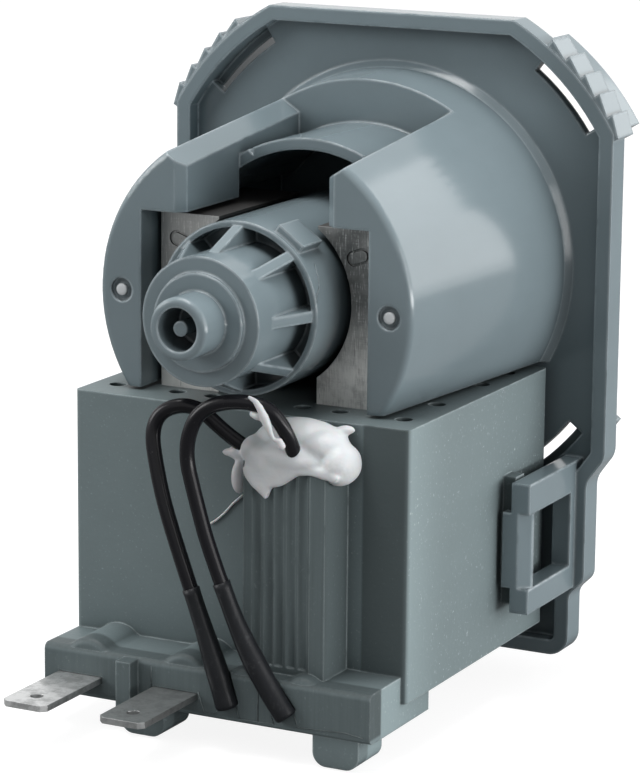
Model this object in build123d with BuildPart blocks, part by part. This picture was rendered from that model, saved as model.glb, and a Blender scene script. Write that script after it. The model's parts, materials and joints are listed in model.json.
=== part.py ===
"""Drain pump of a dishwasher: a synchronous motor on a quarter-turn pump cover.

Sizes are millimetres. The rotor axis is Y. The origin is where that axis meets the
cover's mounting face, which lies against the sump. The impeller is on the +Y side, the
motor and its terminals are on the -Y side, and +Z is up.
"""

import os
from math import cos, radians, sin, sqrt, tan

from build123d import *

# Cover plate, seen along the rotor axis
plate_half_width = 32.3
plate_top = 32.8
plate_corner_radius = 37.4
waist_top = -24.2
waist_drop = 3.5
waist_half_width = 29.8
skirt_top = -41.2
skirt_half_width = 27.7
plate_bottom = -52.0
skirt_corner_radius = 2.8
waist_round = 3.0
skirt_round = 2.0
web_thickness = 1.6
rim_height = 2.3
rim_width = 2.0

# Quarter-turn slots for the sump's hooks
slot_inner_radius = 33.0
slot_width = 2.4
slot_half_angle = 9.4
slot_first_angle = 43.0
slot_count = 4
guide_inner_radius = 34.2
guide_width = 2.6
guide_height = 7.0
guide_half_angle = 12.0

# Finger grips on the two upper corners
grip_start_angle = 52.6
grip_pitch = 4.7
grip_teeth = 5
grip_tip_rise = 1.1
grip_root_rise = 0.3
grip_bite = 1.2
grip_front_setback = 0.15
grip_back = 1.4

# Cone that carries the motor
cone_base_radius = 25.4
cone_front_radius = 22.0
cone_front = 41.75
cone_floor = -12.4
cone_foot = 0.8
cheek_half_gap = 16.05
jaw_half_gap = 10.0
jaw_floor = 10.5
jaw_crest_half_gap = 12.6
jaw_crest_drop = 1.7
crest_cut_width = 2.0
crest_cut_height = 6.0
jaw_front_chamfer = 1.2
ring_wall_front = 10.4
shroud_radius = 18.9
shroud_wall = 1.5
shroud_front = 26.95
cheek_edge_round = 0.8
gate_offset = 18.9
gate_dimple_radius = 1.5
gate_dimple_depth = 0.5
gate_nub_radius = 0.75

# Snap loops that hold the coil block on the cover
loop_inner_face = 25.75
loop_thickness = 2.55
loop_front = 19.0
loop_top = -24.9
loop_bottom = -42.2
loop_window_front = 17.4
loop_window_back = 5.4
loop_window_top = -28.9
loop_window_bottom = -38.9
loop_front_chamfer = 1.6
barb_clearance = 0.25
barb_reach = 1.2

# Spigot, its seal and the impeller chamber on the sump side
spigot_radius = 28.0
spigot_wall = 2.2
spigot_length = 9.0
spigot_end_chamfer = 0.6
spigot_neck_radius = 27.2
spigot_neck_length = 3.3
seal_section = 3.0
seal_gap = 0.02

# Rotor can
can_radius = 11.0
can_wall = 1.2
can_front = 45.6
can_recess_radius = 10.2
can_recess_depth = 3.4
can_flange_radius = 15.0
can_flange_thickness = 1.6
can_seat_clearance = 0.1
can_edge_round = 0.5
nose_radius = 8.05
nose_front = 55.1
nose_wall = 1.4
nose_edge_round = 1.1
nose_step_radius = 6.1
nose_step_height = 0.7
tail_radius = 3.9
tail_front = 60.75
tail_bore_radius = 2.7
tail_floor = 55.4
tail_lip_round = 0.6
sprue_radius = 0.95
sprue_setback = 0.8
gusset_count = 8
gusset_thickness = 1.4
gusset_top = 52.2
gusset_bite = 0.2
key_angle = 54.0
key_width = 4.2
key_back = 39.8
key_height = 0.9

# Stator stack
stack_front = 37.7
stack_thickness = 22.0
stack_bore_radius = 11.75
limb_inner = 7.0
limb_width = 8.4
pole_top = 9.8
yoke_height = 8.2
interlock_radius = 1.0
interlock_length = 3.2
interlock_depth = 0.3
interlock_tilt = 20.0
yoke_cover = 2.0
interlock_x = 12.6
interlock_z = 6.3

# Coils
bobbin_wall = 1.0
bobbin_flange = 1.0
winding_build = 4.1
winding_setback = 0.3
core_clearance = 0.1
coil_clearance = 0.2
coil_cover = 1.5

# Moulded coil block
block_half_width = 23.7
block_front = 45.35
block_back = 3.5
block_top = -12.8
block_bottom = -47.6
block_edge_round = 0.7
vent_radius = 1.1
vent_depth = 3.0
vent_row_station = 40.2
vent_row_x = (6.4, 11.6, 20.4)
vent_side_stations = (30.6, 17.3, 9.2)
catch_front = 17.1
catch_length = 2.6
catch_reach = 1.75
catch_top = -24.6
catch_bottom = -41.6

# Channel for the thermal cutout on the front of the block
channel_left = 3.9
channel_right = 15.35
channel_reach = 5.85
channel_top = -17.6
channel_wall = 1.1
channel_groove_radius = 0.9
channel_groove_depth = 0.25
channel_grooves = (5.8, 7.5, 8.9, 10.6, 12.2)
channel_ridge_left = 13.2
channel_ridge_height = 0.25

# Terminal strip at the foot of the block
strip_left = -23.4
strip_right = 22.9
strip_front = 53.75
strip_top = -44.2
strip_bottom = -50.6
strip_back = 37.1
strip_edge_round = 0.8
hump_radius = 3.6
hump_rise = 1.3
hump_shift = 0.9
hump_blend = 1.6
hump_front_round = 0.8
hump_setback = 0.3
wire_hump_radius = 2.6
wire_hump_shift = 1.7
wire_hump_drop = 1.9
post_left = -11.8
post_right = -9.7
post_reach = 1.9
foot_centres = (-9.3, 18.0)
foot_width = 6.3
foot_front = 53.3
foot_length = 6.5
foot_bottom = -54.4
foot_round = 1.8

# Spade tabs
tab_width = 6.3
tab_thickness = 0.8
tab_top = -47.6
tab_tip = 67.4
tab_root = 47.5
tab_centres = (-18.12, -4.29)
tab_hole_radius = 0.85
tab_hole_station = 64.1
tab_tip_chamfer = 0.7
tab_clearance = 0.05

# Leads and the shrink tubes over their lower ends
lead_radius = 0.95
sleeve_radius = 1.3
sleeve_wall = 0.3
arc_room = 0.45
notch_clearance = 0.25

# Thermal cutout and the silicone over it
cutout_width = 7.0
cutout_depth = 3.4
cutout_length = 16.0
cutout_gap = 0.2
silicone_reach = 7.6
silicone_round = 0.9
silicone_outline = (
    (2.9, -15.4),
    (5.2, -13.2),
    (8.6, -12.3),
    (14.8, -12.1),
    (17.8, -13.2),
    (19.2, -15.6),
    (19.0, -18.4),
    (17.2, -19.9),
    (13.0, -20.5),
    (8.0, -20.7),
    (3.8, -20.6),
    (2.8, -18.0),
)

# Rotor and its bearings
shaft_radius = 1.5
shaft_tail = 52.4
shaft_nose = 13.0
shaft_chamfer = 0.3
running_clearance = 0.05
magnet_radius = 9.1
magnet_back = 13.6
magnet_length = 24.0
hub_radius = 4.6
hub_overhang = 1.2
hub_disc_radius = 8.2
hub_neck_radius = 2.6
bearing_radius = 4.0
bearing_length = 5.5
grommet_wall = 2.4
tail_bearing_front = 53.2
washer_radius = 3.4
washer_thickness = 0.6
washer_gap = 0.2
cap_radius = 14.4
cap_thickness = 1.8
cap_plug_length = 9.0
cap_plug_clearance = 0.1
cap_bearing_back = 1.6
cap_ring_section = 1.4
cap_ring_clearance = 0.03
cap_ring_station = 5.4
lip_seal_radius = 3.6
lip_seal_length = 2.4

# Impeller and its lost-motion drive
impeller_radius = 18.0
impeller_front = 4.4
impeller_height = 8.6
impeller_hub_radius = 7.2
impeller_hub_wall = 1.3
impeller_floor = 1.6
blade_count = 6
blade_thickness = 1.6
blade_drop = 1.6
impeller_disc_radius = 9.5
dog_inner_radius = 3.4
cap_disc_thickness = 1.2
dog_half_angle = 45.0
stop_half_angle = 45.0
dog_clearance = 0.25


def station(depth):
    """Plane square to the rotor axis, depth millimetres in front of the mounting face."""
    return Plane.XZ.offset(depth)


def axial_plane(angle):
    """Plane that holds the rotor axis, turned by angle degrees from the X direction."""
    return Plane.XY.rotated((0, -angle, 0))


def rectangle_between(left, right, bottom, top):
    """Rectangle given by its four sides, in the sketch's own axes."""
    with Locations(((left + right) / 2, (bottom + top) / 2)):
        Rectangle(right - left, top - bottom)


def arc_band(inner, outer, middle, half):
    """Band between two circles about the axis, from middle - half to middle + half degrees."""
    with BuildLine() as outline:
        low = CenterArc((0, 0), inner, middle - half, 2 * half)
        high = CenterArc((0, 0), outer, middle - half, 2 * half)
        Line(low @ 0, high @ 0)
        Line(low @ 1, high @ 1)
    make_face(outline.edges())


def plate_outline():
    """Outline of the cover: round upper corners, a waist and a narrower skirt."""
    flat_end = sqrt(plate_corner_radius**2 - plate_top**2)
    side_end = sqrt(plate_corner_radius**2 - plate_half_width**2)
    corner = plate_corner_radius / sqrt(2)
    notch = waist_half_width - skirt_half_width
    with BuildLine() as outline:
        Line((0, plate_top), (flat_end, plate_top))
        ThreePointArc((flat_end, plate_top), (corner, corner), (plate_half_width, side_end))
        FilletPolyline(
            (plate_half_width, side_end),
            (plate_half_width, waist_top),
            (waist_half_width, waist_top - waist_drop),
            (waist_half_width, skirt_top),
            (skirt_half_width, skirt_top - notch),
            (skirt_half_width, plate_bottom + skirt_corner_radius),
            radius=[waist_round, waist_round, skirt_round, skirt_round],
        )
        TangentArc(
            (skirt_half_width, plate_bottom + skirt_corner_radius),
            (skirt_half_width - skirt_corner_radius, plate_bottom),
            tangent=(0, -1),
        )
        Line((skirt_half_width - skirt_corner_radius, plate_bottom), (0, plate_bottom))
        mirror(about=Plane.YZ)
    make_face(outline.edges())


def polar(radius, angle):
    """Point at radius and angle, in degrees, about the rotor axis."""
    return (radius * cos(radians(angle)), radius * sin(radians(angle)))


def crest_outline(side, crest):
    """Corner above a jaw's inner edge, cut away so that the crest slopes to the cone."""
    with BuildLine() as outline:
        Polyline(
            (side * (jaw_half_gap - crest_cut_width), crest - 2 * jaw_crest_drop),
            (side * jaw_half_gap, crest - jaw_crest_drop),
            (side * jaw_crest_half_gap, crest),
            (side * (jaw_crest_half_gap + crest_cut_width), crest + crest_cut_height),
            (side * (jaw_half_gap - crest_cut_width), crest + crest_cut_height),
            close=True,
        )
    make_face(outline.edges())


def finish(piece, name):
    """Label a finished piece and write its file."""
    piece.part.label = name
    export_step(piece.part, f"parts/{name}.step")
    print(name, round(piece.part.volume, 1), len(piece.part.solids()))


def grip_outline():
    """Saw-toothed band on the right upper corner."""
    end_angle = grip_start_angle - grip_teeth * grip_pitch
    points = [polar(grip_inner_radius, grip_start_angle)]
    for tooth in range(grip_teeth):
        angle = grip_start_angle - tooth * grip_pitch
        points.append(polar(grip_tip_radius, angle))
        points.append(polar(grip_root_radius, angle - grip_pitch))
    points.append(polar(grip_inner_radius, end_angle))
    with BuildLine() as outline:
        Polyline(*points)
        CenterArc((0, 0), grip_inner_radius, end_angle, grip_start_angle - end_angle)
    make_face(outline.edges())


rim_front = web_thickness + rim_height
slot_angles = [slot_first_angle + 360 / slot_count * turn for turn in range(slot_count)]
limb_outer = limb_inner + limb_width
grip_inner_radius = plate_corner_radius - grip_bite
grip_root_radius = plate_corner_radius + grip_root_rise
grip_tip_radius = plate_corner_radius + grip_tip_rise
can_inner_radius = can_radius - can_wall
cap_bearing_seat = bearing_radius + grommet_wall
loop_window_middle = -(loop_window_front + loop_window_back) / 2
shroud_inner = shroud_radius - shroud_wall
far = 100.0
os.makedirs("parts", exist_ok=True)


# Cone that carries the motor, cut level above the coil block
seat_radius = can_radius + can_seat_clearance
cone_slope = (cone_base_radius - cone_front_radius) / (cone_front - web_thickness)
with BuildPart() as cone:
    with BuildSketch(Plane.XY) as cone_profile:
        with BuildLine():
            Polyline(
                (seat_radius, 0),
                (cone_base_radius + cone_foot, 0),
                (cone_base_radius + cone_foot, -web_thickness),
                (cone_base_radius - cone_slope * cone_foot, -web_thickness - cone_foot),
                (cone_front_radius, -cone_front),
                (seat_radius, -cone_front),
                close=True,
            )
        make_face()
        rim_corner = cone_profile.vertices().sort_by_distance((cone_front_radius, -cone_front))[0]
        fillet(rim_corner, cheek_edge_round)
    revolve(axis=Axis.Y)
    with BuildSketch(station(web_thickness)):
        rectangle_between(-far / 2, far / 2, -far, cone_floor)
    extrude(amount=cone_front, mode=Mode.SUBTRACT)
    # Gate dimples on the cheeks, each with the nub that the mould leaves
    with BuildSketch(station(cone_front)):
        with Locations((-gate_offset, 0), (gate_offset, 0)):
            Circle(gate_dimple_radius)
            Circle(gate_nub_radius, mode=Mode.SUBTRACT)
    extrude(amount=-gate_dimple_depth, mode=Mode.SUBTRACT)
    # Space between the jaws, over the shroud
    with BuildSketch(station(ring_wall_front)):
        rectangle_between(-jaw_half_gap, jaw_half_gap, jaw_floor, far)
        Circle(shroud_radius, mode=Mode.SUBTRACT)
    extrude(amount=cone_front, mode=Mode.SUBTRACT)
    # Space in front of the shroud, between jaws and cheeks
    with BuildSketch(station(shroud_front)):
        rectangle_between(-jaw_half_gap, jaw_half_gap, -far, far)
        rectangle_between(-cheek_half_gap, cheek_half_gap, -far, jaw_floor)
    extrude(amount=cone_front, mode=Mode.SUBTRACT)
    # Bore of the shroud
    with BuildSketch(station(rim_front)):
        Circle(shroud_inner)
        rectangle_between(-cheek_half_gap, cheek_half_gap, cone_floor - 1, jaw_floor)
    extrude(amount=shroud_front - rim_front, mode=Mode.SUBTRACT)
    # Sloping crests of the jaws
    crest = sqrt(cone_front_radius**2 - jaw_crest_half_gap**2)
    crest_slope = cone_slope * cone_front_radius / crest
    for side in (-1, 1):
        with BuildSketch(station(cone_front + 1)):
            crest_outline(side, crest - crest_slope)
        extrude(
            amount=(cone_front + 1 - ring_wall_front) * sqrt(1 + crest_slope**2),
            dir=(0, 1, crest_slope),
            mode=Mode.SUBTRACT,
        )
    # Chamfered front edges of the jaws
    with BuildSketch(Plane.XY.offset(jaw_floor)):
        for side in (-1, 1):
            with BuildLine():
                Polyline(
                    (side * (jaw_half_gap - 1), -cone_front + jaw_front_chamfer + 1),
                    (side * (jaw_half_gap + jaw_front_chamfer + 1), -cone_front - 1),
                    (side * (jaw_half_gap - 1), -cone_front - 1),
                    close=True,
                )
            make_face()
    extrude(amount=far, mode=Mode.SUBTRACT)


# Pump cover: plate, spigot and snap loops in one moulding with the cone
with BuildPart() as pump_cover:
    with BuildSketch(station(0)):
        plate_outline()
        Circle(seat_radius, mode=Mode.SUBTRACT)
    extrude(amount=web_thickness)
    with BuildSketch(station(web_thickness)):
        plate_outline()
    extrude(amount=rim_height)
    with BuildSketch(station(web_thickness)):
        plate_outline()
        offset(amount=-rim_width)
    extrude(amount=rim_height, mode=Mode.SUBTRACT)
    # Grips
    with BuildSketch(station(-grip_back)):
        grip_outline()
        mirror(about=Plane.YZ)
    extrude(amount=grip_back + rim_front - grip_front_setback)
    # Slots for the sump's hooks
    with BuildSketch(station(0)):
        for angle in slot_angles:
            arc_band(slot_inner_radius, slot_inner_radius + slot_width, angle, slot_half_angle)
    extrude(amount=rim_front, mode=Mode.SUBTRACT)
    # Guide walls outside the slots, on the sump side
    with BuildSketch(station(0)):
        for angle in slot_angles:
            arc_band(
                guide_inner_radius, guide_inner_radius + guide_width, angle, guide_half_angle
            )
    extrude(amount=-guide_height)
    # Spigot with the neck that the seal sits on
    with BuildSketch(Plane.XY):
        with BuildLine():
            Polyline(
                (spigot_radius - spigot_wall, 0),
                (spigot_neck_radius, 0),
                (spigot_neck_radius, spigot_neck_length),
                (spigot_radius, spigot_neck_length),
                (spigot_radius, spigot_length - spigot_end_chamfer),
                (spigot_radius - spigot_end_chamfer, spigot_length),
                (spigot_radius - spigot_wall, spigot_length),
                close=True,
            )
        make_face()
    revolve(axis=Axis.Y)
    # Snap loops with the barbs that reach in front of the block's catches
    for side in (-1, 1):
        with BuildSketch(Plane.YZ.offset(side * loop_inner_face)):
            rectangle_between(-loop_front, -web_thickness / 2, loop_bottom, loop_top)
            with Locations((loop_window_middle, (loop_window_top + loop_window_bottom) / 2)):
                Rectangle(
                    loop_window_front - loop_window_back,
                    loop_window_top - loop_window_bottom,
                    mode=Mode.SUBTRACT,
                )
        extrude(amount=side * loop_thickness)
        with BuildSketch(Plane.YZ.offset(side * (loop_inner_face - barb_reach))):
            rectangle_between(
                -loop_front, -loop_window_front, loop_window_bottom, loop_window_top
            )
        extrude(amount=side * (barb_reach + loop_thickness / 2))
        # Outer edge of the front bar, cut away beside the window
        loop_outer_face = loop_inner_face + loop_thickness
        with BuildSketch(Plane.XY.offset(loop_window_bottom)):
            with BuildLine():
                Polyline(
                    (side * loop_outer_face, -loop_window_front),
                    (side * (loop_outer_face - loop_front_chamfer), -loop_front),
                    (side * (loop_outer_face - loop_front_chamfer), -loop_front - 1),
                    (side * (loop_outer_face + 1), -loop_front - 1),
                    (side * (loop_outer_face + 1), -loop_window_front),
                    close=True,
                )
            make_face()
        extrude(amount=loop_window_top - loop_window_bottom, mode=Mode.SUBTRACT)
    add(cone.part)
finish(pump_cover, "pump_cover")


# Seal between the spigot and the sump
with BuildPart() as sump_seal_ring:
    with BuildSketch(Plane.XY):
        seal_offset = seal_section / 2 + seal_gap
        with Locations((spigot_neck_radius + seal_offset, seal_offset)):
            RegularPolygon(seal_section / 2, 12)
    revolve(axis=Axis.Y)
finish(sump_seal_ring, "sump_seal_ring")


# Rotor can, open towards the sump
recess_floor = can_front - can_recess_depth
with BuildPart() as rotor_can:
    with BuildSketch(Plane.XY) as can_profile:
        with BuildLine():
            Polyline(
                (0, -(tail_front - sprue_setback)),
                (sprue_radius, -(tail_front - sprue_setback)),
                (sprue_radius, -tail_floor),
                (tail_bore_radius, -tail_floor),
                (tail_bore_radius, -tail_front),
                (tail_radius, -tail_front),
                (tail_radius, -(nose_front + nose_step_height)),
                (nose_step_radius, -(nose_front + nose_step_height)),
                (nose_step_radius, -nose_front),
                (nose_radius, -nose_front),
                (nose_radius, -recess_floor),
                (can_recess_radius, -recess_floor),
                (can_recess_radius, -can_front),
                (can_radius, -can_front),
                (can_radius, 0),
                (can_flange_radius, 0),
                (can_flange_radius, can_flange_thickness),
                (can_inner_radius, can_flange_thickness),
                (can_inner_radius, -(recess_floor - can_wall)),
                (nose_radius - nose_wall, -(recess_floor - can_wall)),
                (nose_radius - nose_wall, -(nose_front - nose_wall)),
                (0, -(nose_front - nose_wall)),
                close=True,
            )
        make_face()
        corners = can_profile.vertices()
        rounds = (
            (tail_radius, tail_front, tail_lip_round),
            (nose_radius, nose_front, nose_edge_round),
            (can_radius, can_front, can_edge_round),
        )
        for radius, depth, edge_round in rounds:
            fillet(corners.sort_by_distance((radius, -depth))[0], edge_round)
    revolve(axis=Axis.Y)
    # Gussets between the nose and the can's rim
    for turn in range(gusset_count):
        with BuildSketch(axial_plane(360 / gusset_count * turn)):
            with BuildLine():
                Polyline(
                    (nose_radius - gusset_bite, -(recess_floor - gusset_bite)),
                    (can_recess_radius + gusset_bite, -(recess_floor - gusset_bite)),
                    (can_recess_radius + gusset_bite, -can_front),
                    (nose_radius - gusset_bite, -gusset_top),
                    close=True,
                )
            make_face()
        extrude(amount=gusset_thickness / 2, both=True)
    # Key pad beside the right pole
    with BuildSketch(axial_plane(key_angle)):
        rectangle_between(can_radius - 0.5, can_radius + key_height, -(can_front - 0.8), -key_back)
    extrude(amount=key_width / 2, both=True)
finish(rotor_can, "rotor_can")


# Laminated stator stack: two limbs that rise beside the can, joined below by the yoke
yoke_bottom = block_bottom + yoke_cover
with BuildPart() as stator_stack:
    with BuildSketch(station(stack_front - stack_thickness)):
        rectangle_between(-limb_outer, limb_outer, yoke_bottom, pole_top)
        with Locations((0, (yoke_bottom + yoke_height + pole_top + 1) / 2)):
            Rectangle(2 * limb_inner, pole_top + 1 - yoke_bottom - yoke_height, mode=Mode.SUBTRACT)
        Circle(stack_bore_radius, mode=Mode.SUBTRACT)
    extrude(amount=stack_thickness)
    # Interlock dimples pressed into the outer sheets
    with BuildSketch(station(stack_front)):
        for side in (-1, 1):
            with Locations(Location((side * interlock_x, interlock_z), side * interlock_tilt)):
                SlotOverall(interlock_length, 2 * interlock_radius)
                SlotOverall(interlock_length - 0.6, 2 * interlock_radius - 0.6, mode=Mode.SUBTRACT)
    extrude(amount=-interlock_depth, mode=Mode.SUBTRACT)
finish(stator_stack, "stator_stack")


# Bobbins and windings, one on each limb below the can
coil_top = block_top - coil_cover
coil_bottom = yoke_bottom + yoke_height + coil_clearance
stack_middle = stack_front - stack_thickness / 2
for side, name in ((-1, "left"), (1, "right")):
    middle = side * (limb_inner + limb_width / 2)
    hole = (limb_width + 2 * core_clearance, stack_thickness + 2 * core_clearance)
    tube = (hole[0] + 2 * bobbin_wall, hole[1] + 2 * bobbin_wall)
    flange = (tube[0] + 2 * winding_build, tube[1] + 2 * winding_build)
    with BuildPart() as bobbin:
        with BuildSketch(Plane.XY.offset(coil_bottom)):
            with Locations((middle, -stack_middle)):
                Rectangle(*flange)
        extrude(amount=bobbin_flange)
        with BuildSketch(Plane.XY.offset(coil_bottom)):
            with Locations((middle, -stack_middle)):
                Rectangle(*tube)
        extrude(amount=coil_top - coil_bottom)
        with BuildSketch(Plane.XY.offset(coil_top - bobbin_flange)):
            with Locations((middle, -stack_middle)):
                Rectangle(*flange)
        extrude(amount=bobbin_flange)
        with BuildSketch(Plane.XY.offset(coil_bottom)):
            with Locations((middle, -stack_middle)):
                Rectangle(*hole)
        extrude(amount=coil_top - coil_bottom, mode=Mode.SUBTRACT)
    finish(bobbin, "coil_bobbin_" + name)
    with BuildPart() as winding:
        with BuildSketch(Plane.XY.offset(coil_bottom + bobbin_flange)):
            with Locations((middle, -stack_middle)):
                RectangleRounded(
                    flange[0] - 2 * winding_setback,
                    flange[1] - 2 * winding_setback,
                    winding_build - winding_setback,
                )
                Rectangle(*tube, mode=Mode.SUBTRACT)
        extrude(amount=coil_top - coil_bottom - 2 * bobbin_flange)
    finish(winding, "coil_winding_" + name)


# Leads: out of the silicone, over an arch and down to the terminal strip
lead_routes = {
    "left": [
        (3.0, -48.9, -16.5),
        (1.1, -49.6, -15.3),
        (-3.3, -51.3, -10.8),
        (-8.7, -52.4, -13.2),
        (-6.7, -53.6, -21.0),
        (-4.3, -54.2, -27.4),
        (1.6, -54.1, -43.0),
        (3.2, -54.0, -48.3),
    ],
    "right": [
        (10.9, -50.6, -16.9),
        (10.7, -52.3, -13.0),
        (7.9, -54.0, -9.1),
        (0.0, -54.6, -10.2),
        (-2.4, -55.0, -15.8),
        (-0.6, -55.0, -22.4),
        (1.2, -55.0, -28.3),
        (6.6, -54.3, -42.0),
        (11.4, -54.0, -48.3),
    ],
}
sleeve_starts = {"left": -34.3, "right": -32.9}


def lead_line(points):
    """Straight runs joined by the largest tangent arcs that they leave room for."""
    radii = []
    for before, here, after in zip(points, points[1:], points[2:]):
        run_in = Vector(*here) - Vector(*before)
        run_out = Vector(*after) - Vector(*here)
        half_turn = radians(run_in.get_angle(run_out)) / 2
        radii.append(arc_room * min(run_in.length, run_out.length) / tan(half_turn))
    print("lead arcs", [round(radius, 1) for radius in radii])
    with BuildLine() as route:
        FilletPolyline(*points, radius=radii)
    return route.line


def point_at_height(start, end, height):
    """Point of the straight run from start to end that lies at the given height."""
    share = (height - start[2]) / (end[2] - start[2])
    return tuple(a + share * (b - a) for a, b in zip(start, end))


leads = {}
notches = {}
for name, points in lead_routes.items():
    line = lead_line(points)
    with BuildPart() as lead:
        with BuildSketch(Plane(line @ 0, z_dir=line % 0)):
            Circle(lead_radius)
        sweep(path=line)
    leads[name] = lead
    finish(lead, "lead_" + name)
    top = point_at_height(points[-3], points[-2], sleeve_starts[name])
    sleeve_line = lead_line([top, *points[-2:]])
    with BuildPart() as sleeve:
        with BuildSketch(Plane(sleeve_line @ 0, z_dir=sleeve_line % 0)):
            Circle(sleeve_radius)
            Circle(sleeve_radius - sleeve_wall, mode=Mode.SUBTRACT)
        sweep(path=sleeve_line)
    finish(sleeve, "shrink_sleeve_" + name)
    bend, foot = Vector(*points[-2]), Vector(*points[-1])
    notches[name] = (bend, (foot - bend).normalized(), (foot - bend).length)


# Spade tabs
for name, centre in zip(("left", "right"), tab_centres):
    with BuildPart() as tab:
        with BuildSketch(Plane.XY.offset(tab_top - tab_thickness)):
            rectangle_between(centre - tab_width / 2, centre + tab_width / 2, -tab_tip, -tab_root)
            tips = vertices().group_by(Axis.Y)[0]
            chamfer(tips, tab_tip_chamfer)
            with Locations((centre, -tab_hole_station)):
                Circle(tab_hole_radius, mode=Mode.SUBTRACT)
        extrude(amount=tab_thickness)
    finish(tab, "spade_tab_" + name)


# Humps of the terminal strip, which run out into its top
hump_floor = strip_top - 2 * hump_blend
with BuildPart() as humps:
    with BuildSketch(station(block_front - 1)) as hump_profile:
        for centre in tab_centres:
            with Locations((centre + hump_shift, strip_top + hump_rise - hump_radius)):
                Circle(hump_radius)
        for name in lead_routes:
            with Locations((lead_routes[name][-1][0] + wire_hump_shift, strip_top - wire_hump_drop)):
                Circle(wire_hump_radius)
        rectangle_between(strip_left, strip_right, hump_floor, strip_top)
        joints = hump_profile.vertices().filter_by_position(Axis.Y, strip_top - 0.01, strip_top + 0.01)
        fillet(joints.sort_by(Axis.X)[1:-1], hump_blend)
    extrude(amount=strip_front - block_front + 1 - hump_setback)
    front_edges = humps.edges().group_by(Axis.Y)[0]
    fillet(front_edges.filter_by_position(Axis.Z, strip_top - 0.01, strip_top + far), hump_front_round)


# Coil block: the moulding round the coils, with the channel, the strip and the feet
with BuildPart() as coil_block:
    with BuildSketch(Plane.XY.offset(block_bottom)):
        rectangle_between(-block_half_width, block_half_width, -block_front, -block_back)
        fillet(vertices(), block_edge_round)
    extrude(amount=block_top - block_bottom)
    # Channel for the thermal cutout
    with BuildSketch(Plane.XY.offset(block_bottom)):
        rectangle_between(channel_left, channel_right, -block_front - channel_reach, -block_front + 1)
    extrude(amount=channel_top - block_bottom)
    # Terminal strip, which runs in under the block
    with BuildSketch(Plane.YZ.offset(strip_left)):
        rectangle_between(-strip_front, -block_front + 1, strip_bottom, strip_top)
        rectangle_between(-strip_front, -strip_back, strip_bottom, block_bottom + 1)
        fillet(vertices().group_by(Axis.X)[0], strip_edge_round)
    extrude(amount=strip_right - strip_left)
    # Humps over the tabs and round the wires
    add(humps.part)
    # Post between the tabs
    with BuildSketch(station(strip_front - 1)):
        rectangle_between(post_left, post_right, strip_bottom + 0.2, strip_top - 0.2)
    extrude(amount=post_reach + 1)
    # Feet
    for centre in foot_centres:
        with BuildSketch(Plane.XZ.offset(foot_front - foot_length)):
            rectangle_between(
                centre - foot_width / 2, centre + foot_width / 2, foot_bottom, strip_bottom + 1
            )
            fillet(vertices().group_by(Axis.Y)[0], foot_round)
        extrude(amount=foot_length)
    # Catches for the cover's snap loops
    for side in (-1, 1):
        with BuildSketch(Plane.YZ.offset(side * (block_half_width - 1))):
            rectangle_between(-catch_front, -catch_front + catch_length, catch_bottom, catch_top)
        extrude(amount=side * (catch_reach + 1))
    # Space for the stack, the coils and the yoke
    with BuildSketch(station(stack_front - stack_thickness - core_clearance)):
        for side in (-1, 1):
            middle = side * (limb_inner + limb_width / 2)
            with Locations((middle, (yoke_bottom + block_top) / 2)):
                Rectangle(
                    limb_width + 2 * core_clearance,
                    block_top - yoke_bottom + 2 * core_clearance + 2,
                )
        rectangle_between(
            -limb_outer - core_clearance,
            limb_outer + core_clearance,
            yoke_bottom - core_clearance,
            yoke_bottom + yoke_height + core_clearance,
        )
    extrude(amount=stack_thickness + 2 * core_clearance, mode=Mode.SUBTRACT)
    coil_reach = bobbin_wall + winding_build + core_clearance + coil_clearance
    with BuildSketch(Plane.XY.offset(coil_bottom - coil_clearance)):
        with Locations((0, -stack_middle)):
            Rectangle(2 * (limb_outer + coil_reach), stack_thickness + 2 * coil_reach)
    extrude(amount=coil_top - coil_bottom + 2 * coil_clearance, mode=Mode.SUBTRACT)
    # Pocket for the thermal cutout, open at the top of the channel
    with BuildSketch(Plane.XY.offset(channel_top)):
        rectangle_between(
            channel_left + channel_wall,
            channel_right - channel_wall,
            -block_front - channel_reach + channel_wall,
            -block_front,
        )
    extrude(amount=-cutout_length - 1, mode=Mode.SUBTRACT)
    # Shallow grooves down the channel's face, and the ridge beside them
    groove_front = block_front + channel_reach + channel_groove_radius - channel_groove_depth
    with BuildSketch(Plane.XY.offset(strip_top + 1)):
        with Locations(*[(x, -groove_front) for x in channel_grooves]):
            Circle(channel_groove_radius)
    extrude(amount=channel_top - strip_top, mode=Mode.SUBTRACT)
    ridge_front = block_front + channel_reach + channel_ridge_height
    with BuildSketch(Plane.XY.offset(strip_top)):
        rectangle_between(channel_ridge_left, channel_right, -ridge_front, -block_front)
    extrude(amount=channel_top - strip_top)
    # Slots for the tabs
    with BuildSketch(Plane.XY.offset(tab_top - tab_thickness - tab_clearance)):
        for centre in tab_centres:
            rectangle_between(
                centre - tab_width / 2 - tab_clearance,
                centre + tab_width / 2 + tab_clearance,
                -far,
                -tab_root + tab_clearance,
            )
    extrude(amount=tab_thickness + 2 * tab_clearance, mode=Mode.SUBTRACT)
    # Notches for the shrink sleeves
    for bend, fall, length in notches.values():
        with BuildSketch(Plane(bend, z_dir=fall)):
            Circle(sleeve_radius + notch_clearance)
        extrude(amount=length + notch_clearance, mode=Mode.SUBTRACT)
    # Vent holes in the top
    vent_points = [(side * x, -vent_row_station) for side in (-1, 1) for x in vent_row_x]
    for depth in vent_side_stations:
        vent_points += [(-vent_row_x[-1], -depth), (vent_row_x[-1], -depth)]
    with BuildSketch(Plane.XY.offset(block_top)):
        with Locations(*vent_points):
            Circle(vent_radius)
    extrude(amount=-vent_depth, mode=Mode.SUBTRACT)
finish(coil_block, "coil_block")


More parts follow.
